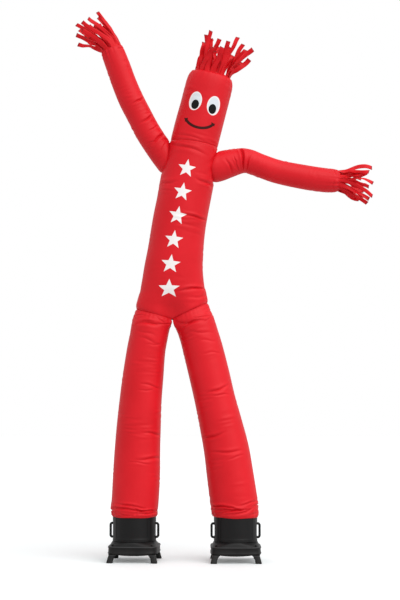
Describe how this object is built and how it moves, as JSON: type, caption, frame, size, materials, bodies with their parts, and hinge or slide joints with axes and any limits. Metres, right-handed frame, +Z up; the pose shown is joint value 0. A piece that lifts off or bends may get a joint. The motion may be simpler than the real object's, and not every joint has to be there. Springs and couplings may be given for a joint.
{
  "type": "inflatable air dancer on floor blowers",
  "caption": "Tall blown-up nylon tube figure with a smiling face, raised arms, ribbon hair and hands, its legs pulled over round floor blowers.",
  "frame": {"origin": "on the floor, in the middle of the whole figure's box", "axes": "+Z up, the figure faces -Y, +X is to the right of someone who faces it"},
  "size_m": [3.0703, 0.6136, 5.6577],
  "materials": {
    "nylon": "satin coated nylon",
    "housing": "fine-grained matt black"
  },
  "bodies": {
    "root": {"torso": "nylon", "head": "nylon", "left_arm": "nylon", "right_arm": "nylon", "left_leg": "nylon", "right_leg": "nylon", "hair_fringe": "nylon", "left_hand_fringe": "nylon", "right_hand_fringe": "nylon", "left_blower_barrel": "housing", "left_blower_base": "housing", "left_blower_foot_1": "housing", "left_blower_foot_2": "housing", "left_blower_foot_3": "housing", "left_blower_foot_4": "housing", "left_blower_handle_1": "housing", "left_blower_handle_2": "housing", "left_blower_inlet": "housing", "right_blower_barrel": "housing", "right_blower_base": "housing", "right_blower_foot_1": "housing", "right_blower_foot_2": "housing", "right_blower_foot_3": "housing", "right_blower_foot_4": "housing", "right_blower_handle_1": "housing", "right_blower_handle_2": "housing", "right_blower_inlet": "housing"}
  },
  "joints": []
}
